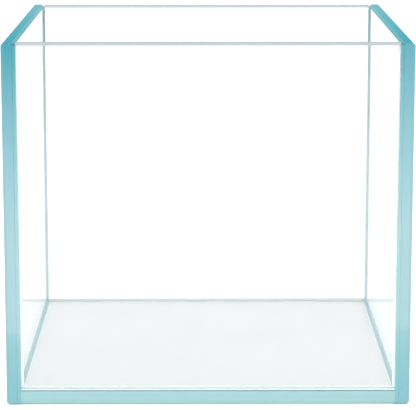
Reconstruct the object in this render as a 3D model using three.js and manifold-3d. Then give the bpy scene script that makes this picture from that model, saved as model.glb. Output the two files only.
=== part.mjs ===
// Rimless glass aquarium tank, open at the top.
// Five polished panes, the silicone film in each of the eight joints between them, and the tooled
// silicone bead that seals each of the eight inside corners.
//
// Millimetres, +Z up. The front faces -Y. The origin is the middle of the footprint, on the surface
// that the tank stands on. The side panes run the full depth and height. The bottom pane lies between
// them, and the front and back panes stand on it, flush with the ends of the side panes.

import * as THREE from 'three';
import { mergeVertices } from 'three/addons/utils/BufferGeometryUtils.js';
import Module from 'manifold-3d';

const wasm = await Module();
wasm.setup();

// Driving dimensions.
const WIDTH = 300; // outside, along X
const DEPTH = 300; // outside, along Y
const HEIGHT = 270; // from the underside to the rim
const GLASS = 10; // thickness of every pane
const ARRIS = 2; // 45 degree polished chamfer on an edge that stays open
const BOND_ARRIS = 0.5; // lighter chamfer on an edge that is bonded to another pane
const FILM = 0.5; // silicone between two panes
const BEAD_RADIUS = 2.5; // hollow radius of the inside bead
const BEAD_STEPS = 8; // straight steps in the bead's hollow face, an even number
const MITRE_SETBACK = 0.2; // each bead stops this far short of the mitre plane, along its length

// Places worked out from them.
const INNER_X = WIDTH / 2 - GLASS; // inner face of a side pane
const INNER_Y = DEPTH / 2 - GLASS; // inner face of the front or back pane
const FLOOR_Z = GLASS; // top face of the bottom pane
const WALL_FOOT_Z = FLOOR_Z + FILM; // lower edge of the front and back panes
const SPAN = WIDTH - 2 * (GLASS + FILM); // length of a pane that fits between the side panes
const BEAD_TOP_Z = HEIGHT - ARRIS; // the corner beads stop where the rim's chamfer starts

const glass = new THREE.MeshStandardMaterial({
  color: 0x9fd6dc,
  roughness: 0.03,
  metalness: 0,
  transparent: true,
  opacity: 0.35,
});

const silicone = new THREE.MeshStandardMaterial({
  color: 0xc3d2d6,
  roughness: 0.35,
  metalness: 0,
  transparent: true,
  opacity: 0.7,
});

const tank = new THREE.Group();

function addPiece(name, geometry, material) {
  const piece = new THREE.Mesh(geometry, material);
  piece.name = name;
  tank.add(piece);
  return piece;
}

// Panes. Each is a section in the YZ plane, drawn out along X, with a chamfer round both ends.

function sectionShape(width, height, lowChamfer, highChamfer) {
  const half = width / 2;
  const shape = new THREE.Shape();
  shape.moveTo(-half + lowChamfer, 0);
  shape.lineTo(half - lowChamfer, 0);
  if (lowChamfer > 0) shape.lineTo(half, lowChamfer);
  shape.lineTo(half, height - highChamfer);
  if (highChamfer > 0) shape.lineTo(half - highChamfer, height);
  shape.lineTo(-half + highChamfer, height);
  if (highChamfer > 0) shape.lineTo(-half, height - highChamfer);
  if (lowChamfer > 0) shape.lineTo(-half, lowChamfer);
  return shape;
}

function paneGeometry(shape, length, endChamfer) {
  const geometry = new THREE.ExtrudeGeometry(shape, {
    depth: length - 2 * endChamfer,
    bevelEnabled: true,
    bevelThickness: endChamfer,
    bevelSize: endChamfer,
    bevelOffset: -endChamfer,
    bevelSegments: 1,
  });
  geometry.translate(0, 0, endChamfer - length / 2);
  // The shape's X and Y become Y and Z, and its drawn length becomes X.
  const turn = new THREE.Matrix4().makeBasis(
    new THREE.Vector3(0, 1, 0),
    new THREE.Vector3(0, 0, 1),
    new THREE.Vector3(1, 0, 0),
  );
  return geometry.applyMatrix4(turn);
}

function addSidePane(name, side) {
  const shape = sectionShape(DEPTH, HEIGHT, 0, 0);
  const pane = addPiece(name, paneGeometry(shape, GLASS, ARRIS), glass);
  pane.position.x = side * (INNER_X + GLASS / 2);
}

function addEndPane(name, side) {
  const shape = sectionShape(GLASS, HEIGHT - WALL_FOOT_Z, BOND_ARRIS, ARRIS);
  const pane = addPiece(name, paneGeometry(shape, SPAN, BOND_ARRIS), glass);
  pane.position.set(0, side * (INNER_Y + GLASS / 2), WALL_FOOT_Z);
}

function addBottomPane() {
  const shape = sectionShape(DEPTH, GLASS, ARRIS, BOND_ARRIS);
  addPiece('bottom_pane', paneGeometry(shape, SPAN, BOND_ARRIS), glass);
}

// Films. Each fills the flat part of its joint, between two parallel faces of glass.

function addFilm(name, low, high) {
  const size = high.clone().sub(low);
  const film = addPiece(name, new THREE.BoxGeometry(size.x, size.y, size.z), silicone);
  film.position.copy(low).add(high).multiplyScalar(0.5);
}

// The box between two signed limits on one axis, whichever side of the middle it is on.
function ordered(side, near, far) {
  return side < 0 ? [-far, -near] : [near, far];
}

function addUprightFilm(name, sideX, sideY) {
  const [x0, x1] = ordered(sideX, INNER_X - FILM, INNER_X);
  const [y0, y1] = ordered(sideY, INNER_Y, DEPTH / 2 - ARRIS);
  addFilm(name, new THREE.Vector3(x0, y0, FLOOR_Z), new THREE.Vector3(x1, y1, BEAD_TOP_Z));
}

function addFloorSideFilm(name, sideX) {
  const [x0, x1] = ordered(sideX, INNER_X - FILM, INNER_X);
  const reach = DEPTH / 2 - ARRIS;
  addFilm(name, new THREE.Vector3(x0, -reach, ARRIS), new THREE.Vector3(x1, reach, FLOOR_Z));
}

function addFloorEndFilm(name, sideY) {
  const [y0, y1] = ordered(sideY, INNER_Y, DEPTH / 2 - BOND_ARRIS);
  const reach = SPAN / 2;
  addFilm(name, new THREE.Vector3(-reach, y0, FLOOR_Z), new THREE.Vector3(reach, y1, WALL_FOOT_Z));
}

// Beads. A bead lies in an inside corner. Its section has two flat sides on the glass and a hollow
// face, and its length runs along the corner. Where three beads meet, each is cut to a point by the
// planes halfway between it and the other two.

function solidFrom(geometry) {
  const bare = geometry.clone();
  bare.deleteAttribute('normal');
  bare.deleteAttribute('uv');
  const merged = mergeVertices(bare);
  const mesh = new wasm.Mesh({
    numProp: 3,
    vertProperties: new Float32Array(merged.attributes.position.array),
    triVerts: new Uint32Array(merged.index.array),
  });
  return new wasm.Manifold(mesh);
}

function geometryFrom(solid) {
  const mesh = solid.getMesh();
  const geometry = new THREE.BufferGeometry();
  geometry.setAttribute('position', new THREE.BufferAttribute(mesh.vertProperties, 3));
  geometry.setIndex(new THREE.BufferAttribute(mesh.triVerts, 1));
  geometry.computeVertexNormals();
  return geometry;
}

function beadSection() {
  const shape = new THREE.Shape();
  shape.moveTo(0, 0);
  shape.lineTo(BEAD_RADIUS, 0);
  shape.absarc(BEAD_RADIUS, BEAD_RADIUS, BEAD_RADIUS, -Math.PI / 2, Math.PI, true);
  return shape;
}

// The space that a bead may fill, seen from one side: along its length and out from the glass.
function mitreShape(length, farMitred) {
  const reach = 2 * BEAD_RADIUS;
  const farSetback = farMitred ? MITRE_SETBACK : 0;
  const shape = new THREE.Shape();
  shape.moveTo(MITRE_SETBACK, 0);
  shape.lineTo(length - farSetback, 0);
  shape.lineTo(farMitred ? length - farSetback - reach : length, reach);
  shape.lineTo(MITRE_SETBACK + reach, reach);
  return shape;
}

function mitreSolid(length, farMitred, sideways) {
  const geometry = new THREE.ExtrudeGeometry(mitreShape(length, farMitred), {
    depth: 4 * BEAD_RADIUS,
    bevelEnabled: false,
  });
  geometry.translate(0, 0, -2 * BEAD_RADIUS);
  // The shape's X is the bead's length, and its Y is the distance out from one of the two panes.
  geometry.rotateY(-Math.PI / 2);
  if (sideways) geometry.rotateZ(-Math.PI / 2);
  return solidFrom(geometry);
}

// A bead along local +Z, with its corner on the Z axis and its flat sides along +X and +Y.
function beadGeometry(length, farMitred) {
  const bar = solidFrom(new THREE.ExtrudeGeometry(beadSection(), {
    depth: length,
    bevelEnabled: false,
    curveSegments: BEAD_STEPS / 2,
  }));
  const cut = bar.intersect(mitreSolid(length, farMitred, false));
  return geometryFrom(cut.intersect(mitreSolid(length, farMitred, true)));
}

// Two directions out from the glass and one along the corner, put in right-handed order.
function addBead(name, corner, outA, outB, along, length, farMitred) {
  const bead = addPiece(name, beadGeometry(length, farMitred), silicone);
  const rightHanded = outA.clone().cross(outB).dot(along) > 0;
  const basis = new THREE.Matrix4();
  if (rightHanded) basis.makeBasis(outA, outB, along);
  else basis.makeBasis(outB, outA, along);
  bead.quaternion.setFromRotationMatrix(basis);
  bead.position.copy(corner);
}

const UP = new THREE.Vector3(0, 0, 1);
const ALONG_X = new THREE.Vector3(1, 0, 0);
const ALONG_Y = new THREE.Vector3(0, 1, 0);

function addUprightBead(name, sideX, sideY) {
  const corner = new THREE.Vector3(sideX * INNER_X, sideY * INNER_Y, FLOOR_Z);
  const outX = new THREE.Vector3(-sideX, 0, 0);
  const outY = new THREE.Vector3(0, -sideY, 0);
  addBead(name, corner, outX, outY, UP, BEAD_TOP_Z - FLOOR_Z, false);
}

function addFloorSideBead(name, sideX) {
  const corner = new THREE.Vector3(sideX * INNER_X, -INNER_Y, FLOOR_Z);
  const out = new THREE.Vector3(-sideX, 0, 0);
  addBead(name, corner, out, UP, ALONG_Y, 2 * INNER_Y, true);
}

function addFloorEndBead(name, sideY) {
  const corner = new THREE.Vector3(-INNER_X, sideY * INNER_Y, FLOOR_Z);
  const out = new THREE.Vector3(0, -sideY, 0);
  addBead(name, corner, out, UP, ALONG_X, 2 * INNER_X, true);
}

// The tank.

const sidesX = [['left', -1], ['right', 1]];
const sidesY = [['front', -1], ['back', 1]];

addBottomPane();

for (const [word, side] of sidesX) {
  addSidePane(`${word}_pane`, side);
  addFloorSideFilm(`bond_bottom_${word}`, side);
  addFloorSideBead(`bead_bottom_${word}`, side);
}

for (const [word, side] of sidesY) {
  addEndPane(`${word}_pane`, side);
  addFloorEndFilm(`bond_bottom_${word}`, side);
  addFloorEndBead(`bead_bottom_${word}`, side);
}

for (const [wordY, sideY] of sidesY) {
  for (const [wordX, sideX] of sidesX) {
    addUprightFilm(`bond_${wordY}_${wordX}`, sideX, sideY);
    addUprightBead(`bead_${wordY}_${wordX}`, sideX, sideY);
  }
}

export default tank;
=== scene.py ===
"""Finished glass, silicone and studio for a rimless aquarium tank, built around its CAD frame."""

import math

import bmesh
import bpy
from bpy.props import FloatProperty, FloatVectorProperty, PointerProperty
from bpy.types import Operator, Panel, PropertyGroup
from mathutils import Matrix, Vector, noise


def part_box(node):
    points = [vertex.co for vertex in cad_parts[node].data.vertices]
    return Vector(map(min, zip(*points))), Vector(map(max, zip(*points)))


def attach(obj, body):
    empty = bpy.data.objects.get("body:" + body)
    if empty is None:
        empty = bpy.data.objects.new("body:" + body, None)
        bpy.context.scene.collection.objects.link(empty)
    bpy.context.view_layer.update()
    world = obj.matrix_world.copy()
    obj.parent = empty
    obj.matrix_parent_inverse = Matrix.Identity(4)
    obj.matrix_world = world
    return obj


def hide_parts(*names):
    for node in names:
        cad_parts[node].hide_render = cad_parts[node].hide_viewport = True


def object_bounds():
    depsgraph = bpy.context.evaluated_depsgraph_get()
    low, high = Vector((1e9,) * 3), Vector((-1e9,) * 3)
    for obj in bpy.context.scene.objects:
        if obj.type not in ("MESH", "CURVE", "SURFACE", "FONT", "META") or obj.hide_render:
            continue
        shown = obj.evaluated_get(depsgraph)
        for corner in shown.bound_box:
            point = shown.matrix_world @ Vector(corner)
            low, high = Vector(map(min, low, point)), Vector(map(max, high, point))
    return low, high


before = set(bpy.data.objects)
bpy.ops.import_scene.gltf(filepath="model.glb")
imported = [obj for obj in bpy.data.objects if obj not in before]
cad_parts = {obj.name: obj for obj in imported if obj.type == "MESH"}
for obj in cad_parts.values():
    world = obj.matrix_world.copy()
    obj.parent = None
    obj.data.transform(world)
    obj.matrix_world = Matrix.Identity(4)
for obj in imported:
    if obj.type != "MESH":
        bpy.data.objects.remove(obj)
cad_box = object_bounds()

bl_info = {
    "name": "Rimless Glass Tank",
    "version": (1, 0, 0),
    "blender": (4, 5, 0),
    "location": "3D View > Sidebar > Glass Tank",
    "description": "Makes the panes, silicone and studio of a rimless aquarium tank",
    "category": "Object",
}

MM = 0.001
AXIS_X, AXIS_Y, AXIS_Z = 0, 1, 2
LOW, HIGH = cad_box
CENTRE = (LOW + HIGH) / 2
PANE_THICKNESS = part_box("bottom_pane")[1].z - LOW.z
SIDES_X = (("left", -1), ("right", 1))
SIDES_Y = (("front", -1), ("back", 1))
BODY = "root"


# Settings


class GlassSettings(PropertyGroup):
    """Sizes and colours of the panes."""

    arris: FloatProperty(
        name="Arris",
        description="Width of the polished chamfer on an edge that stays open",
        default=2 * MM,
        min=0.2 * MM,
        unit="LENGTH",
    )
    bond_arris: FloatProperty(
        name="Bond Arris",
        description="Width of the light chamfer on an edge that is bonded",
        default=0.15 * MM,
        min=0.1 * MM,
        unit="LENGTH",
    )
    polish: FloatProperty(
        name="Polish Radius",
        description="Rounding that polishing leaves along each line of an edge",
        default=0.06 * MM,
        min=0.02 * MM,
        unit="LENGTH",
    )
    absorption_colour: FloatVectorProperty(
        name="Absorption Colour",
        description="Colour that light keeps on a long way through the glass",
        default=(0.033, 0.54, 0.62),
        size=3,
        min=0.0,
        max=1.0,
        subtype="COLOR",
    )
    absorption_density: FloatProperty(
        name="Absorption Density",
        description="How fast light takes on that colour, per metre",
        default=1.0,
        min=0.0,
    )


class SiliconeSettings(PropertyGroup):
    """Sizes and colours of the silicone."""

    clearance: FloatProperty(
        name="Clearance",
        description="Hair gap between silicone and glass, so that no two faces lie in one plane",
        default=0.03 * MM,
        min=0.005 * MM,
        unit="LENGTH",
    )
    lip: FloatProperty(
        name="Bead Lip",
        description="Thickness of a bead where the tool left it on the glass",
        default=0.12 * MM,
        min=0.02 * MM,
        unit="LENGTH",
    )
    waviness: FloatProperty(
        name="Bead Waviness",
        description="How far the tooled face of a bead wanders",
        default=0.09 * MM,
        min=0.0,
        unit="LENGTH",
    )
    overhang: FloatProperty(
        name="Film Overhang",
        description="How far a film is squeezed out between two open chamfers",
        default=1.85 * MM,
        min=0.0,
        unit="LENGTH",
    )
    squeeze: FloatProperty(
        name="Film Edge",
        description="How far the outer edge of a film wanders",
        default=0.3 * MM,
        min=0.0,
        unit="LENGTH",
    )
    colour: FloatVectorProperty(
        name="Silicone Colour",
        description="Colour of the clear silicone",
        default=(0.80, 0.88, 0.90),
        size=3,
        min=0.0,
        max=1.0,
        subtype="COLOR",
    )


class StudioSettings(PropertyGroup):
    """Camera, light and floor."""

    camera_place: FloatVectorProperty(
        name="Camera Place",
        description="Where the camera stands",
        default=(-0.0063, -1.6357, 0.4352),
        size=3,
        subtype="TRANSLATION",
    )
    camera_tilt: FloatProperty(
        name="Camera Tilt",
        description="How far the camera looks down",
        default=math.radians(10.83),
        subtype="ANGLE",
    )
    camera_turn: FloatProperty(
        name="Camera Turn",
        description="How far the camera is turned to the right",
        default=math.radians(0.24),
        subtype="ANGLE",
    )
    lens: FloatProperty(
        name="Lens",
        description="Focal length, on a 36 mm sensor",
        default=178.9,
        min=10.0,
        unit="CAMERA",
    )
    light: FloatProperty(
        name="Light",
        description="Brightness of the white light all round",
        default=1.6,
        min=0.0,
    )
    floor_radius: FloatProperty(
        name="Floor Radius",
        description="Radius of the floor",
        default=8.0,
        min=1.0,
        unit="LENGTH",
    )
    floor_gap: FloatProperty(
        name="Floor Gap",
        description="How far the floor lies under the tank",
        default=0.3 * MM,
        min=0.0,
        unit="LENGTH",
    )
    floor_colour: FloatVectorProperty(
        name="Floor Colour",
        description="Colour of the floor",
        default=(0.90, 0.90, 0.90),
        size=3,
        min=0.0,
        max=1.0,
        subtype="COLOR",
    )


# Shader maths


class Number:
    """A number in a shader. Arithmetic on it adds Math nodes."""

    def __init__(self, shading, socket):
        self.shading = shading
        self.socket = socket

    def math(self, operation, *others):
        sockets = dict(enumerate((self, *others)))
        made = self.shading.node("ShaderNodeMath", {"operation": operation}, sockets)
        return Number(self.shading, made.outputs[0])

    def __add__(self, other):
        return self.math("ADD", other)

    def __radd__(self, other):
        return self.math("ADD", other)

    def __sub__(self, other):
        return self.math("SUBTRACT", other)

    def __rsub__(self, other):
        return self * -1 + other

    def __mul__(self, other):
        return self.math("MULTIPLY", other)

    def __rmul__(self, other):
        return self.math("MULTIPLY", other)


class Shading:
    """A material and the nodes that make it. Colours are given as three numbers."""

    def __init__(self, name):
        self.material = bpy.data.materials.new(name)
        self.material.use_nodes = True
        self.tree = self.material.node_tree
        self.tree.nodes.clear()

    def node(self, kind, settings=None, sockets=None):
        """Adds a node: its settings come first, then a value or a link for each socket named."""
        made = self.tree.nodes.new(kind)
        for name, value in (settings or {}).items():
            if name == "stops":
                self.fill_ramp(made.color_ramp, value)
            else:
                setattr(made, name, value)
        for name, value in (sockets or {}).items():
            self.feed(made.inputs[name], value)
        return made

    def feed(self, socket, value):
        """Links another node's output to a socket, or sets the socket's own value."""
        if isinstance(value, Number):
            value = value.socket
        if isinstance(value, bpy.types.NodeSocket):
            self.tree.links.new(value, socket)
        elif socket.type == "RGBA":
            socket.default_value = (*value, 1.0)
        else:
            socket.default_value = value

    @staticmethod
    def fill_ramp(ramp, stops):
        """Stops are (position, colour) pairs in rising order."""
        while len(ramp.elements) < len(stops):
            ramp.elements.new(1.0)
        for element, (position, colour) in zip(ramp.elements, stops):
            element.position = position
            element.color = (*colour, 1.0)

    def place(self):
        """Object coordinates, as a vector."""
        return self.node("ShaderNodeTexCoord").outputs["Object"]

    def share(self, axis, length=None):
        """How far a point lies along an axis, as a share of a length or else of the whole tank."""
        split = self.node("ShaderNodeSeparateXYZ", sockets={0: self.place()})
        length = length or (HIGH - LOW)[axis]
        return (Number(self, split.outputs[axis]) - LOW[axis]) * (1 / length)

    def attribute(self, name):
        made = self.node("ShaderNodeAttribute", {"attribute_name": name})
        return Number(self, made.outputs["Fac"])

    def ramp(self, position, stops):
        made = self.node("ShaderNodeValToRGB", {"stops": stops}, {"Fac": position})
        return made.outputs["Color"]

    def mix(self, factor, first, second, blend="MIX"):
        """A mix of two colours."""
        made = self.node(
            "ShaderNodeMix",
            {"data_type": "RGBA", "blend_type": blend},
            {"Factor": factor, 6: first, 7: second},
        )
        return made.outputs[2]

    def tinted(self, colour, tint, factor=1.0):
        """A colour multiplied by another."""
        return self.mix(factor, colour, tint, "MULTIPLY")

    def noise(self, vector, scale, detail=2.0):
        made = self.node(
            "ShaderNodeTexNoise",
            sockets={"Vector": vector, "Scale": scale, "Detail": detail},
        )
        return Number(self, made.outputs["Fac"])

    def stretched(self, vector, scale):
        made = self.node("ShaderNodeMapping", sockets={"Vector": vector, "Scale": scale})
        return made.outputs["Vector"]

    def bump(self, height, strength, distance):
        made = self.node(
            "ShaderNodeBump",
            sockets={"Height": height, "Strength": strength, "Distance": distance},
        )
        return made.outputs["Normal"]

    def principled(self, sockets):
        """A Principled shader."""
        return self.node("ShaderNodeBsdfPrincipled", sockets=sockets).outputs[0]

    def blended(self, factor, first, second):
        """A mix of two shaders."""
        made = self.node("ShaderNodeMixShader", sockets={0: factor, 1: first, 2: second})
        return made.outputs[0]

    def finish(self, surface, volume=None):
        sockets = {"Surface": surface}
        if volume is not None:
            sockets["Volume"] = volume
        self.node("ShaderNodeOutputMaterial", sockets=sockets)
        return self.material


WHITE = (1.0, 1.0, 1.0)
SATIN_SPECULAR = 0.1  # how little a milky or matt surface shines


# Glass

GLASS_IOR = 1.52
STREAKS = (6.0, 1400.0, 1.0)  # polishing streaks: turns per metre along a face and across it
STREAK_TONES = [(0.3, (0.94, 0.94, 0.94)), (0.7, WHITE)]
CLEAR_ROUGHNESS, CLEAR_STREAK = 0.02, 0.03  # of an edge's clear share, and what a streak adds
DEEP_ROUGHNESS, DEEP_STREAK = 0.25, 0.15  # of its milky share, and what a streak adds

BOTTOM_SHARE, SIDE_SHARE, END_SHARE = 0.85, 0.92, 0.90  # how milky the satin faces of a pane are

# Painted light along an upright edge, by share of the tank's height: deep toward the rim, paler in the
# middle, and a deeper step low down that is a painted reflection of the tank's floor.
UPRIGHT_TONES = [
    (0.06, (0.22, 0.45, 0.50)),
    (0.13, (0.24, 0.46, 0.50)),
    (0.19, (0.28, 0.49, 0.53)),
    (0.21, (0.345, 0.525, 0.56)),
    (0.46, (0.345, 0.525, 0.56)),
    (0.62, (0.28, 0.48, 0.54)),
    (0.72, (0.23, 0.44, 0.50)),
    (0.86, (0.15, 0.37, 0.44)),
    (0.95, (0.09, 0.33, 0.39)),
    (0.99, (0.07, 0.30, 0.385)),
]
RIGHT_FADE = 0.08  # painted light: the right-hand edges run through this much less of those tones
CLOUD_SCALE = 60.0  # soft blotches of tone on an edge, per metre
CLOUD_TONES = [(0.35, (0.96, 0.99, 0.98)), (0.60, WHITE)]

# Painted light along the top of a side pane, by share from front to back: deep at the front, paler at
# the back.
RIM_TONES = [
    (0.00, (0.01, 0.24, 0.30)),
    (0.50, (0.05, 0.28, 0.34)),
    (1.00, (0.10, 0.31, 0.36)),
]
# Painted light on the rim's chamfers: a pale grey mixed into their tone.
RIM_ARRIS, RIM_ARRIS_SHARE = (0.48, 0.58, 0.56), 0.15
UPRIGHT_ARRIS, UPRIGHT_ARRIS_SHARE = (0.26, 0.29, 0.31), 0.2

# Painted reflection of the white surroundings on the rim of the front and back panes, seen at a low
# angle: its flat darker than its chamfers.
END_RIM_FLAT_REFLECTION = (0.28, 0.34, 0.36)
END_RIM_ARRIS_REFLECTION = (0.37, 0.42, 0.445)
BONDED_PAINTED_LIGHT = (0.15, 1.35, 1.42)  # what the tone of a bonded end is multiplied by: painted light, lighter and greener, against the dimming in the joint's hair gap

# Tone up the bottom pane's open edges, by share of its thickness. The lower chamfer is painted pale:
# painted light against the shade of the floor beneath it. A darker line lies just above it.
BAND_TONES = [
    (0.00, (0.66, 0.88, 0.86)),
    (0.20, (0.39, 0.64, 0.62)),
    (0.23, (0.33, 0.57, 0.60)),
    (0.29, (0.36, 0.58, 0.60)),
    (0.92, (0.36, 0.58, 0.60)),
    (0.96, (0.33, 0.55, 0.57)),
]
# Painted light on the bottom pane's bonded ends, against the dimming in the joint.
JOINT_PAINTED_LIGHT = (0.36, 0.92, 0.95)
FLOOR_CLOUD_SCALE = 14.0  # wide blotches of tone on the floor, per metre
# The tank's floor painted almost white and a little grey: painted light with faint shade, for the table
# seen through the glass.
FLOOR_TONES = [(0.35, (0.575, 0.590, 0.592)), (0.65, (0.588, 0.602, 0.603))]


def polished_glass(name, paint, satin_share):
    """Clear float glass. Its satin faces show the blue-green of the long way through the pane, painted
    on their milky share with the painted light and shade of each pane's paint.
    """
    settings = bpy.context.scene.tank_glass
    shading = Shading(name)
    satin = shading.attribute("satin")
    run = shading.node("ShaderNodeUVMap", {"uv_map": "run"}).outputs["UV"]
    streaks = shading.noise(shading.stretched(run, STREAKS), 1.0, detail=3.0)
    grain = shading.ramp(streaks, STREAK_TONES)
    colour = shading.tinted(paint(shading), grain, 1 - shading.attribute("floor"))
    clear = shading.principled({
        "Base Color": shading.mix(satin, WHITE, colour),
        "Roughness": satin * (CLEAR_ROUGHNESS + streaks * CLEAR_STREAK),
        "IOR": GLASS_IOR,
        "Transmission Weight": 1.0,
    })
    deep = shading.principled({
        "Base Color": colour,
        "Roughness": DEEP_ROUGHNESS + streaks * DEEP_STREAK,
        "IOR": GLASS_IOR,
        "Specular IOR Level": 0.0,
    })
    absorption = shading.node(
        "ShaderNodeVolumeAbsorption",
        sockets={"Color": settings.absorption_colour, "Density": settings.absorption_density},
    )
    surface = shading.blended(satin * satin_share, clear, deep)
    return shading.finish(surface, absorption.outputs[0])


def upright_tone(shading):
    """The blue-green of an upright edge in painted light: deep at the rim, less so on the right, and
    paler lower down, with a painted reflection of the tank's floor as a deeper step near the foot.
    """
    height = shading.share(AXIS_Z) * (1 - shading.share(AXIS_X) * RIGHT_FADE)
    cloud = shading.ramp(shading.noise(shading.place(), CLOUD_SCALE), CLOUD_TONES)
    return shading.tinted(shading.ramp(height, UPRIGHT_TONES), cloud)


def side_pane_paint(shading):
    """Upright edges in the painted light of upright_tone. Along the rim, painted light, deep at the
    front and paler at the back, with paler chamfers.
    """
    arris = shading.attribute("arris")
    rim = shading.ramp(shading.share(AXIS_Y), RIM_TONES)
    rim = shading.mix(arris * RIM_ARRIS_SHARE, rim, RIM_ARRIS)
    upright = shading.mix(arris * UPRIGHT_ARRIS_SHARE, upright_tone(shading), UPRIGHT_ARRIS)
    return shading.mix(shading.attribute("upright"), rim, upright)


def end_pane_paint(shading):
    """Pale grey-blue along the rim, a painted reflection, its flat darker than its chamfers, and deeper
    upright faces in painted light.

    The bonded ends are painted lighter and greener, as painted light against the dimming in the joint's
    hair gap, where they are seen through silicone and a side pane.
    """
    rim = shading.mix(shading.attribute("arris"), END_RIM_FLAT_REFLECTION, END_RIM_ARRIS_REFLECTION)
    upright = upright_tone(shading)
    bonded = shading.tinted(upright, BONDED_PAINTED_LIGHT)
    upright = shading.mix(shading.attribute("joint"), upright, bonded)
    return shading.mix(shading.attribute("upright"), rim, upright)


def bottom_pane_paint(shading):
    """Even blue-green along the open edges, with painted light on the lower chamfer. Painted lighter at
    bonded ends, and painted almost white, with faint shade, on the floor.
    """
    band = shading.ramp(shading.share(AXIS_Z, PANE_THICKNESS), BAND_TONES)
    band = shading.mix(shading.attribute("joint"), band, JOINT_PAINTED_LIGHT)
    floor = shading.ramp(shading.noise(shading.place(), FLOOR_CLOUD_SCALE), FLOOR_TONES)
    return shading.mix(shading.attribute("floor"), band, floor)


# Silicone

SILICONE_IOR = 1.41
SILICONE_CLOUDS = 260.0  # cloudy patches, per metre
SILICONE_RIPPLES = 900.0  # and the fine ripple of its skin
RIPPLE_STRENGTH, RIPPLE_DEPTH = 0.15, 0.05 * MM
SMOOTH_ROUGHNESS, SMOOTH_CLOUD = 0.06, 0.12  # of the clear share, and what a cloud adds
MILKY_ROUGHNESS, MILKY_CLOUD = 0.35, 0.15  # of the milky share, and what a cloud adds
MILKY_SHARE, MILKY_SWING = 0.75, 0.1  # how milky a marked face is, and what a cloud adds

BEAD_TONES = [
    (0.04, (0.23, 0.39, 0.42)),
    (0.06, (0.44, 0.54, 0.55)),
    (0.50, (0.40, 0.48, 0.50)),
    (0.84, (0.20, 0.30, 0.33)),
    (1.00, (0.18, 0.27, 0.30)),
]
# Painted light on the pale parts of the silicone: near white, lifted against the shade of the corners,
# and a painted highlight along the foot of a floor bead.
SILICONE_PAINTED_LIGHT = (0.86, 0.92, 0.92)
GREY_SILICONE = (0.39, 0.46, 0.46)
# Painted light: near white, to match the tank's painted floor.
FLOOR_SILICONE = (0.69, 0.76, 0.76)
FILM_LIFT = (1.12, 1.17, 1.10)  # what the tone of the edges beside a film is multiplied by


def clear_silicone(name, paint):
    """Clear cured silicone, uneven, and milky on the faces marked as satin, whose paint carries painted
    light.
    """
    shading = Shading(name)
    cloud = shading.noise(shading.place(), SILICONE_CLOUDS, detail=3.0)
    ripple = shading.noise(shading.place(), SILICONE_RIPPLES)
    normal = shading.bump(ripple, RIPPLE_STRENGTH, RIPPLE_DEPTH)
    clear = shading.principled({
        "Base Color": bpy.context.scene.tank_silicone.colour,
        "Roughness": SMOOTH_ROUGHNESS + cloud * SMOOTH_CLOUD,
        "IOR": SILICONE_IOR,
        "Transmission Weight": 1.0,
        "Normal": normal,
    })
    milky = shading.principled({
        "Base Color": paint(shading),
        "Roughness": MILKY_ROUGHNESS + cloud * MILKY_CLOUD,
        "IOR": SILICONE_IOR,
        "Specular IOR Level": SATIN_SPECULAR,
        "Normal": normal,
    })
    share = shading.attribute("satin") * (MILKY_SHARE + cloud * MILKY_SWING)
    return shading.finish(shading.blended(share, clear, milky))


def bead_paint(shading):
    """Grey-blue at the rim and paler down to the floor. Pale parts are almost white, painted light."""
    tone = shading.ramp(shading.share(AXIS_Z), BEAD_TONES)
    return shading.mix(shading.attribute("pale"), tone, SILICONE_PAINTED_LIGHT)


def floor_end_paint(shading):
    """Soft grey against the back pane, and elsewhere the tone of the tank's floor, which is painted
    light.
    """
    return shading.mix(shading.attribute("pale"), GREY_SILICONE, FLOOR_SILICONE)


def film_paint(shading):
    """The painted light of the upright edges beside it, slightly lighter and greener."""
    return shading.tinted(upright_tone(shading), FILM_LIFT)


# Studio floor

MATT_ROUGHNESS = 0.9
MOTTLE_SCALE = 3.0  # patches per metre
MOTTLE_DARK = 0.99  # brightness of the darkest patches


def studio_white(name, colour):
    """Matt pale paint with a faint mottle."""
    shading = Shading(name)
    mottle = shading.noise(shading.place(), MOTTLE_SCALE, detail=1.0)
    dark = tuple(channel * MOTTLE_DARK for channel in colour)
    surface = shading.principled({
        "Base Color": shading.ramp(mottle, [(0.3, dark), (0.7, colour)]),
        "Roughness": MATT_ROUGHNESS,
        "Specular IOR Level": SATIN_SPECULAR,
    })
    return shading.finish(surface)


def shared_material(name, make, *details):
    """A material by its name, made once."""
    return bpy.data.materials.get(name) or make(name, *details)


# Mesh making

SQUARE_ON = 0.999  # a direction with this share along an axis counts as parallel to it
TOUCH = 0.001 * MM  # points this close count as together


def boxed(low, high):
    """A new mesh in the making that fills a box."""
    bm = bmesh.new()
    bmesh.ops.create_cube(bm, size=1.0)
    bmesh.ops.scale(bm, vec=high - low, verts=bm.verts)
    bmesh.ops.translate(bm, vec=(low + high) / 2, verts=bm.verts)
    return bm


def runs_along(edge, axis):
    way = edge.verts[1].co - edge.verts[0].co
    return abs(way[axis]) > SQUARE_ON * way.length


def at_level(edge, axis, level):
    return all(abs(vert.co[axis] - level) < TOUCH for vert in edge.verts)


def chamfer(bm, edges, width, segments=1):
    bmesh.ops.bevel(
        bm,
        geom=edges,
        offset=width,
        offset_type="OFFSET",
        segments=segments,
        profile=0.5,
        affect="EDGES",
        clamp_overlap=True,
        material=-1,
    )


def new_face_marks(bm, *names):
    """Face attributes that a material can read."""
    return [bm.faces.layers.float.new(name) for name in names]


def place_object(name, bm, material, node):
    """Turns a finished bmesh into the piece that stands for a CAD node."""
    mesh = bpy.data.meshes.new(name)
    bm.to_mesh(mesh)
    bm.free()
    mesh.materials.append(material)
    piece = bpy.data.objects.new(name, mesh)
    bpy.context.scene.collection.objects.link(piece)
    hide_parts(node)
    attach(piece, BODY)
    return piece


# Panes

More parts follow.
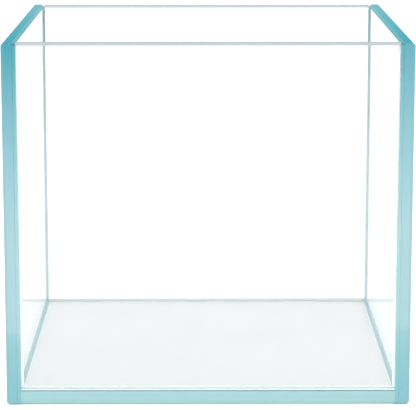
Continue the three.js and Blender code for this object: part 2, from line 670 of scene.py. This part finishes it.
POLISHED_ANGLE = math.radians(20)  # polishing rounds a line that turns by more than this
POLISH_SEGMENTS = 2
UPRIGHT_LIMIT = 0.5  # an upright face leans less than this, up or down
OUTWARD_LIMIT = 0.1  # a chamfer that shows at the front or back leans outwards by more than this
END_JOINT_SATIN = 0.3  # how milky the bonded ends of the front and back panes look
BOTTOM_JOINT_SATIN = 0.85  # and those of the bottom pane


def open_to_air(face, face_axis):
    """An edge face is open where it lies along the outside of the whole tank."""
    reach = bpy.context.scene.tank_glass.arris
    centre = face.calc_center_median()
    depths = [min(centre[i] - LOW[i], HIGH[i] - centre[i]) for i in range(3) if i != face_axis]
    return min(depths) <= reach


def shows_outside(face):
    """A chamfer shows where it faces out of the front or back of the tank."""
    return abs(face.normal.y) > OUTWARD_LIMIT and face.calc_center_median().y * face.normal.y > 0


def mark_faces(bm, face_axis):
    """Marks the edge faces that show, their chamfers, the upright ones, the ends and the floor."""
    satin, arris, upright, joint, floor = new_face_marks(
        bm, "satin", "arris", "upright", "joint", "floor"
    )
    joint_satin = BOTTOM_JOINT_SATIN if face_axis == AXIS_Z else END_JOINT_SATIN
    for face in bm.faces:
        normal = face.normal
        is_chamfer = max(abs(share) for share in normal) <= SQUARE_ON
        is_broad = abs(normal[face_axis]) > SQUARE_ON
        is_floor = face_axis == AXIS_Z and normal.z > SQUARE_ON
        is_underside = normal.z < -SQUARE_ON
        is_upright = abs(normal.z) < UPRIGHT_LIMIT
        is_joint = face_axis != AXIS_X and abs(normal.x) > SQUARE_ON
        faces_joint = face_axis == AXIS_X and face.calc_center_median().x * normal.x < 0
        shows = open_to_air(face, face_axis) or (is_chamfer and shows_outside(face))
        # A satin face takes the milky share that carries the pane's painted light and shade.
        is_satin = is_floor or (shows and not is_broad and not is_underside)
        face[satin] = joint_satin if is_joint else float(is_satin)
        face[arris] = float(is_chamfer and not (is_upright and faces_joint))
        face[upright] = float(is_upright)
        face[joint] = float(is_joint)
        face[floor] = float(is_floor)


def lay_run_map(bm):
    """A UV map in metres whose U runs along each face's longest side."""
    layer = bm.loops.layers.uv.new("run")
    for face in bm.faces:
        reaches = [[vert.co[i] for vert in face.verts] for i in range(3)]
        spans = [max(reach) - min(reach) for reach in reaches]
        along = spans.index(max(spans))
        across = [i for i in range(3) if i != along]
        for loop in face.loops:
            co = loop.vert.co
            loop[layer].uv = (co[along], co[across[0]] + co[across[1]])


def pane_bmesh(low, high, low_chamfer, high_chamfer, end_chamfer, face_axis):
    """A pane drawn along X: chamfers on its lower and upper long edges, then round both ends."""
    polish = bpy.context.scene.tank_glass.polish
    bm = boxed(low, high)
    for level, width in ((low.z, low_chamfer), (high.z, high_chamfer)):
        if width > 0:
            long_edges = [e for e in bm.edges if runs_along(e, AXIS_X) and at_level(e, AXIS_Z, level)]
            chamfer(bm, long_edges, width)
    for level in (low.x, high.x):
        outline = [e for e in bm.edges if at_level(e, AXIS_X, level)]
        chamfer(bm, outline, end_chamfer)
    bm.normal_update()
    sharp = [e for e in bm.edges if e.calc_face_angle(0.0) > POLISHED_ANGLE]
    chamfer(bm, sharp, polish, segments=POLISH_SEGMENTS)
    bm.normal_update()
    mark_faces(bm, face_axis)
    lay_run_map(bm)
    return bm


def make_pane(node, chamfers, face_axis, material):
    low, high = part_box(node)
    bm = pane_bmesh(low, high, *chamfers, face_axis)
    place_object(f"{node}_glass", bm, material, node)


# Films and beads

WANDER_SCALE = 70.0  # turns of a hand-tooled wander, per metre
FAINT_SATIN = 0.1  # how milky the hidden faces of the silicone are

FILM_CUTS = 60  # cuts along a film, which let its edge wander
FILM_SEED = 50  # sets the wander of one film apart from the next
MOUTH_LIMIT = 0.01 * MM  # a film that ends this close to an open chamfer fills the groove there
FILM_SIDE_LIMIT = 0.9  # a face that looks at the glass leans more than this along the thin axis
FILM_SET_BACK = 0.5  # the edge of a film lies in from its box by this share of its wander

BEAD_STEPS = 10  # straight steps in the hollow face
BEAD_RING_GAP = 4 * MM  # distance between the rings that let a bead wander
BEAD_SEEDS = 1000, 31  # set the wander of one bead apart from the next, by radius and by length
TAPER_LENGTH = 1.5 * MM  # a bead narrows over this length where it ends at the rim
TAPER_KEEP = 0.45  # to this share of its size
END_PLANE = 0.0001 * MM  # points of a bead this close to an end lie in it
OFF_GLASS = 1.5  # points further out than this many clearances are off the glass
HOLLOW_LEAN = 0.02  # the hollow face leans more than this away from both flats
END_LEAN = 0.5  # an end face leans more than this along the bead
CRISP_ANGLE = math.radians(35)  # a line that turns by more than this stays crisp
BACK_BEAD_REACH = 1.05 * MM  # a bead is toned this far out from its wall, and pale beyond, in painted light
# On a floor bead the pale part beyond this is a painted highlight along its foot.
FLOOR_BEAD_REACH = 2.13 * MM


def find_mouths(low, high):
    """Where a film fills a groove between two open chamfers: the axis, the side and the inner line."""
    arris = bpy.context.scene.tank_glass.arris
    mouths = []
    for axis in range(3):
        for side, end, outside in ((-1, low, LOW), (1, high, HIGH)):
            at_rim = axis == AXIS_Z and side > 0
            if not at_rim and abs(abs(end[axis] - outside[axis]) - arris) < MOUTH_LIMIT:
                mouths.append((axis, side, end[axis]))
    return mouths


def past_mouths(point, mouths):
    """How far a point lies past the inner line of a groove. Below zero it is in no groove."""
    return max([side * (point[axis] - line) for axis, side, line in mouths], default=0.0)


def film_box(low, high, mouths):
    """The box of a film that keeps off the glass and is squeezed out into its grooves."""
    settings = bpy.context.scene.tank_silicone
    inset = Vector((settings.clearance,) * 3)
    low, high = low + inset, high - inset
    for axis, side, _ in mouths:
        end = low if side < 0 else high
        end[axis] += side * settings.overhang
    return low, high


def cut_at_mouths(bm, mouths):
    """Cuts a film along the inner line of each groove."""
    for axis, _, line in mouths:
        normal = Vector((0, 0, 0))
        normal[axis] = 1
        geom = bm.verts[:] + bm.edges[:] + bm.faces[:]
        bmesh.ops.bisect_plane(bm, geom=geom, plane_co=normal * line, plane_no=normal, dist=TOUCH)


def film_bmesh(cad_low, cad_high):
    """A film that keeps off the glass on both sides, and widens where it fills the groove of a joint."""
    settings = bpy.context.scene.tank_silicone
    size = cad_high - cad_low
    thin, across, along = sorted(range(3), key=lambda i: size[i])
    mouths = find_mouths(cad_low, cad_high)
    low, high = film_box(cad_low, cad_high, mouths)
    bm = boxed(low, high)
    long_edges = [e for e in bm.edges if runs_along(e, along)]
    bmesh.ops.subdivide_edges(bm, edges=long_edges, cuts=FILM_CUTS, use_grid_fill=True)
    cut_at_mouths(bm, mouths)
    outer_edge, inward = high[across], -1
    if across == AXIS_Z or low[across] < CENTRE[across]:
        outer_edge, inward = low[across], 1
    outer_face, outward = low[thin], -1
    if (low[thin] + high[thin]) / 2 > CENTRE[thin]:
        outer_face, outward = high[thin], 1
    for vert in bm.verts:
        if abs(vert.co[across] - outer_edge) < TOUCH:
            wander = noise.noise(vert.co * WANDER_SCALE + low * FILM_SEED)
            vert.co[across] += inward * settings.squeeze * (FILM_SET_BACK + wander)
        flare = past_mouths(vert.co, mouths) - 2 * settings.clearance
        if thin == AXIS_X and flare > 0 and abs(vert.co.x - outer_face) < TOUCH:
            vert.co.x += outward * flare
    bm.normal_update()
    mark_film(bm, thin, mouths)
    return bm


def mark_film(bm, thin, mouths):
    """Marks the faces in a groove and round the edge of a film as milky."""
    (satin,) = new_face_marks(bm, "satin")
    for face in bm.faces:
        in_groove = past_mouths(face.calc_center_median(), mouths) > 0
        is_edge = abs(face.normal[thin]) < FILM_SIDE_LIMIT
        face[satin] = 1.0 if in_groove or is_edge else FAINT_SATIN


def make_film(node):
    material = shared_material("film_silicone", clear_silicone, film_paint)
    place_object(f"{node}_film", film_bmesh(*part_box(node)), material, node)


def bead_section(bm, radius, lip, clearance):
    """The bead's section as one face in XY: flats along both axes and a hollow face between."""
    start = bm.verts.new((radius, clearance + lip, 0))
    swept = bmesh.ops.spin(
        bm,
        geom=[start],
        cent=(radius, radius, 0),
        axis=(0, 0, 1),
        angle=-math.pi / 2,
        steps=BEAD_STEPS,
        use_duplicate=False,
    )
    end = swept["geom_last"][0]
    foot = bm.verts.new((radius, clearance, 0))
    corner = bm.verts.new((clearance, clearance, 0))
    head = bm.verts.new((clearance, radius, 0))
    for pair in ((end, head), (head, corner), (corner, foot), (foot, start)):
        bm.edges.new(pair)
    bmesh.ops.contextual_create(bm, geom=bm.edges[:])


def bead_bmesh(radius, length, far_mitred):
    """A bead along +Z with its corner on the Z axis. A mitred end comes to a point in the corner."""
    settings = bpy.context.scene.tank_silicone
    bm = bmesh.new()
    bead_section(bm, radius, settings.lip, settings.clearance)
    bm.normal_update()
    drawn = bmesh.ops.extrude_face_region(bm, geom=bm.faces[:])
    moved = [made for made in drawn["geom"] if isinstance(made, bmesh.types.BMVert)]
    bmesh.ops.translate(bm, vec=(0, 0, length), verts=moved)
    rings = max(2, round(length / BEAD_RING_GAP))
    long_edges = [e for e in bm.edges if runs_along(e, AXIS_Z)]
    bmesh.ops.subdivide_edges(bm, edges=long_edges, cuts=rings - 1, use_grid_fill=True)
    split_cap(bm, 0.0)
    if far_mitred:
        split_cap(bm, length)
    for vert in bm.verts:
        shape_bead_vertex(vert, radius, length, far_mitred, settings)
    bmesh.ops.recalc_face_normals(bm, faces=bm.faces)
    return bm


def split_cap(bm, end_z):
    """Splits an end face along its diagonal, so that the two mitre planes stay flat."""
    cap = [v for v in bm.verts if abs(v.co.z - end_z) < END_PLANE]
    diagonal = [v for v in cap if abs(v.co.x - v.co.y) < TOUCH]
    bmesh.ops.connect_verts(bm, verts=diagonal)


def shape_bead_vertex(vert, radius, length, far_mitred, settings):
    """Gives a point of a straight bead its wander, its taper at the rim and its mitre."""
    x, y, z = vert.co
    clearance = settings.clearance
    hollow = min(x, y) > clearance * OFF_GLASS and x + y < 2 * radius
    at_start, at_end = z < END_PLANE, z > length - END_PLANE
    if hollow and not (at_start or at_end):
        by_radius, by_length = BEAD_SEEDS
        seed = Vector((z * WANDER_SCALE, radius * by_radius, length * by_length))
        wander = noise.noise(seed) * settings.waviness
        vert.co.x += wander
        vert.co.y += wander
    left = (length - z) / TAPER_LENGTH
    if not far_mitred and left < 1.0:
        keep = TAPER_KEEP + (1 - TAPER_KEEP) * math.sqrt(max(0.0, 1 - (1 - left) ** 2))
        vert.co.x = clearance + (vert.co.x - clearance) * keep
        vert.co.y = clearance + (vert.co.y - clearance) * keep
    reach = max(x, y) + clearance
    if at_start:
        vert.co.z = reach
    elif at_end and far_mitred:
        vert.co.z = length - reach


def smooth_hollow(bm):
    """Shades the hollow face smooth and leaves the flats and ends crisp."""
    for face in bm.faces:
        normal = face.normal
        face.smooth = min(normal.x, normal.y) > HOLLOW_LEAN and abs(normal.z) < END_LEAN
    for edge in bm.edges:
        if len(edge.link_faces) == 2 and edge.calc_face_angle(0.0) > CRISP_ANGLE:
            edge.smooth = False


def mark_bead(bm, corner, out, toned_reach):
    """Marks the hollow face as milky, and as pale beyond a distance out from the wall, where painted
    light goes.

    A bead with no such distance is milky all round.
    """
    satin, pale = new_face_marks(bm, "satin", "pale")
    for face in bm.faces:
        face[satin] = 1.0 if face.smooth or not toned_reach else FAINT_SATIN
        face[pale] = float((face.calc_center_median() - corner).dot(out) > toned_reach)


def make_bead(node, corner, outs, along, length, toned_reach, material, far_mitred=True):
    """Makes a bead that lies out from two panes. Its tone reaches out from the first of them."""
    low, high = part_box(node)
    radius = min(high - low)
    bm = bead_bmesh(radius, length, far_mitred)
    bm.normal_update()
    smooth_hollow(bm)
    first, second = outs
    if first.cross(second).dot(along) < 0:
        first, second = second, first
    turn = Matrix((first, second, along)).transposed().to_4x4()
    bmesh.ops.transform(bm, matrix=Matrix.Translation(corner) @ turn, verts=bm.verts)
    bm.normal_update()
    mark_bead(bm, corner, outs[0], toned_reach)
    place_object(f"{node}_silicone", bm, material, node)


def inner_corner(side_x, side_y):
    """The inside corner of the walls at floor level, from the panes that meet there."""
    side_low, side_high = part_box("left_pane" if side_x < 0 else "right_pane")
    end_low, end_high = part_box("front_pane" if side_y < 0 else "back_pane")
    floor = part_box("bottom_pane")[1].z
    x = side_high.x if side_x < 0 else side_low.x
    y = end_high.y if side_y < 0 else end_low.y
    return Vector((x, y, floor))


# Operators


class TANK_OT_bottom_pane(Operator):
    """Make the bottom pane, chamfered along its lower open edges"""

    bl_idname = "tank.bottom_pane"
    bl_label = "Bottom Pane"

    def execute(self, context):
        glass = context.scene.tank_glass
        material = shared_material("bottom_glass", polished_glass, bottom_pane_paint, BOTTOM_SHARE)
        chamfers = (glass.arris, glass.bond_arris, glass.bond_arris)
        make_pane("bottom_pane", chamfers, AXIS_Z, material)
        return {"FINISHED"}


class TANK_OT_side_panes(Operator):
    """Make the two side panes, chamfered all round"""

    bl_idname = "tank.side_panes"
    bl_label = "Side Panes"

    def execute(self, context):
        glass = context.scene.tank_glass
        material = shared_material("side_glass", polished_glass, side_pane_paint, SIDE_SHARE)
        for word, _ in SIDES_X:
            make_pane(f"{word}_pane", (0.0, 0.0, glass.arris), AXIS_X, material)
        return {"FINISHED"}


class TANK_OT_end_panes(Operator):
    """Make the front and back panes, chamfered along the rim"""

    bl_idname = "tank.end_panes"
    bl_label = "Front and Back Panes"

    def execute(self, context):
        glass = context.scene.tank_glass
        material = shared_material("end_glass", polished_glass, end_pane_paint, END_SHARE)
        chamfers = (glass.bond_arris, glass.arris, glass.bond_arris)
        for word, _ in SIDES_Y:
            make_pane(f"{word}_pane", chamfers, AXIS_Y, material)
        return {"FINISHED"}


class TANK_OT_bond_films(Operator):
    """Make the silicone film in each joint between two panes"""

    bl_idname = "tank.bond_films"
    bl_label = "Bond Films"

    def execute(self, context):
        for word_y, _ in SIDES_Y:
            make_film(f"bond_bottom_{word_y}")
            for word_x, _ in SIDES_X:
                make_film(f"bond_{word_y}_{word_x}")
        for word_x, _ in SIDES_X:
            make_film(f"bond_bottom_{word_x}")
        return {"FINISHED"}


class TANK_OT_upright_beads(Operator):
    """Make the silicone bead in each upright inside corner"""

    bl_idname = "tank.upright_beads"
    bl_label = "Upright Beads"

    def execute(self, context):
        up = Vector((0, 0, 1))
        silicone = shared_material("bead_silicone", clear_silicone, bead_paint)
        for word_y, side_y in SIDES_Y:
            # The front beads are pale all over: painted light against the shade of their corners.
            reach = 0.0 if side_y < 0 else BACK_BEAD_REACH
            for word_x, side_x in SIDES_X:
                node = f"bead_{word_y}_{word_x}"
                corner = inner_corner(side_x, side_y)
                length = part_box(node)[1].z - corner.z
                outs = Vector((-side_x, 0, 0)), Vector((0, -side_y, 0))
                make_bead(node, corner, outs, up, length, reach, silicone, far_mitred=False)
        return {"FINISHED"}


class TANK_OT_floor_beads(Operator):
    """Make the silicone beads round the floor"""

    bl_idname = "tank.floor_beads"
    bl_label = "Floor Beads"

    def execute(self, context):
        up, right, back = Vector((0, 0, 1)), Vector((1, 0, 0)), Vector((0, 1, 0))
        near, far = inner_corner(-1, -1), inner_corner(1, 1)
        width, depth = far.x - near.x, far.y - near.y
        side_silicone = shared_material("bead_silicone", clear_silicone, bead_paint)
        end_silicone = shared_material("floor_end_silicone", clear_silicone, floor_end_paint)
        for word, side in SIDES_X:
            corner, outs = inner_corner(side, -1), (right * -side, up)
            reach = FLOOR_BEAD_REACH
            make_bead(f"bead_bottom_{word}", corner, outs, back, depth, reach, side_silicone)
        for word, side in SIDES_Y:
            corner, outs = inner_corner(-1, side), (back * -side, up)
            # The front floor bead is pale all over, in painted light.
            reach = 0.0 if side < 0 else FLOOR_BEAD_REACH
            make_bead(f"bead_bottom_{word}", corner, outs, right, width, reach, end_silicone)
        return {"FINISHED"}


SENSOR_WIDTH = 36.0
CLIP_NEAR, CLIP_FAR = 0.05, 50.0
FLOOR_SEGMENTS = 96
GLASS_BOUNCES = 64  # light that runs along a pane is turned back many times before it leaves


class TANK_OT_studio(Operator):
    """Set up the floor, the light and the camera"""

    bl_idname = "tank.studio"
    bl_label = "Studio"

    def execute(self, context):
        studio = context.scene.tank_studio
        self.make_floor(context.scene, studio)
        self.make_light(context.scene, studio)
        self.make_camera(context.scene, studio)
        return {"FINISHED"}

    def make_floor(self, scene, studio):
        bm = bmesh.new()
        bmesh.ops.create_circle(
            bm, cap_ends=True, radius=studio.floor_radius, segments=FLOOR_SEGMENTS
        )
        bmesh.ops.translate(bm, vec=(0, 0, LOW.z - studio.floor_gap), verts=bm.verts)
        mesh = bpy.data.meshes.new("studio_floor")
        bm.to_mesh(mesh)
        bm.free()
        mesh.materials.append(studio_white("studio_floor", studio.floor_colour))
        floor = bpy.data.objects.new("studio_floor", mesh)
        scene.collection.objects.link(floor)

    def make_light(self, scene, studio):
        world = bpy.data.worlds.new("studio_light")
        world.use_nodes = True
        background = world.node_tree.nodes["Background"]
        background.inputs["Color"].default_value = (*WHITE, 1.0)
        background.inputs["Strength"].default_value = studio.light
        scene.world = world
        scene.view_settings.view_transform = "Standard"
        for kind in ("max", "diffuse", "glossy", "transmission", "transparent_max"):
            setattr(scene.cycles, f"{kind}_bounces", GLASS_BOUNCES)
        scene.cycles.blur_glossy = 0.0

    def make_camera(self, scene, studio):
        data = bpy.data.cameras.new("studio_camera")
        data.sensor_width = SENSOR_WIDTH
        data.lens = studio.lens
        data.clip_start, data.clip_end = CLIP_NEAR, CLIP_FAR
        camera = bpy.data.objects.new("studio_camera", data)
        camera.location = studio.camera_place
        camera.rotation_euler = (math.pi / 2 - studio.camera_tilt, 0, -studio.camera_turn)
        scene.collection.objects.link(camera)
        scene.camera = camera


OPERATORS = (
    TANK_OT_studio,
    TANK_OT_bottom_pane,
    TANK_OT_side_panes,
    TANK_OT_end_panes,
    TANK_OT_bond_films,
    TANK_OT_upright_beads,
    TANK_OT_floor_beads,
)
SETTINGS = {
    "tank_glass": GlassSettings,
    "tank_silicone": SiliconeSettings,
    "tank_studio": StudioSettings,
}


class TANK_PT_sidebar(Panel):
    """The tank's operators and sizes"""

    bl_label = "Glass Tank"
    bl_idname = "TANK_PT_sidebar"
    bl_space_type = "VIEW_3D"
    bl_region_type = "UI"
    bl_category = "Glass Tank"

    def draw(self, context):
        for operator in OPERATORS:
            self.layout.operator(operator.bl_idname)
        for group_name, group in SETTINGS.items():
            box = self.layout.box()
            for name in group.__annotations__:
                box.prop(getattr(context.scene, group_name), name)


CLASSES = (*SETTINGS.values(), *OPERATORS, TANK_PT_sidebar)


def register():
    for cls in CLASSES:
        bpy.utils.register_class(cls)
    for name, group in SETTINGS.items():
        setattr(bpy.types.Scene, name, PointerProperty(type=group))


def unregister():
    for name in SETTINGS:
        delattr(bpy.types.Scene, name)
    for cls in reversed(CLASSES):
        bpy.utils.unregister_class(cls)


def main():
    register()
    bpy.ops.tank.studio()
    bpy.ops.tank.bottom_pane()
    bpy.ops.tank.side_panes()
    bpy.ops.tank.end_panes()
    bpy.ops.tank.bond_films()
    bpy.ops.tank.upright_beads()
    bpy.ops.tank.floor_beads()


if __name__ == "__main__":
    main()
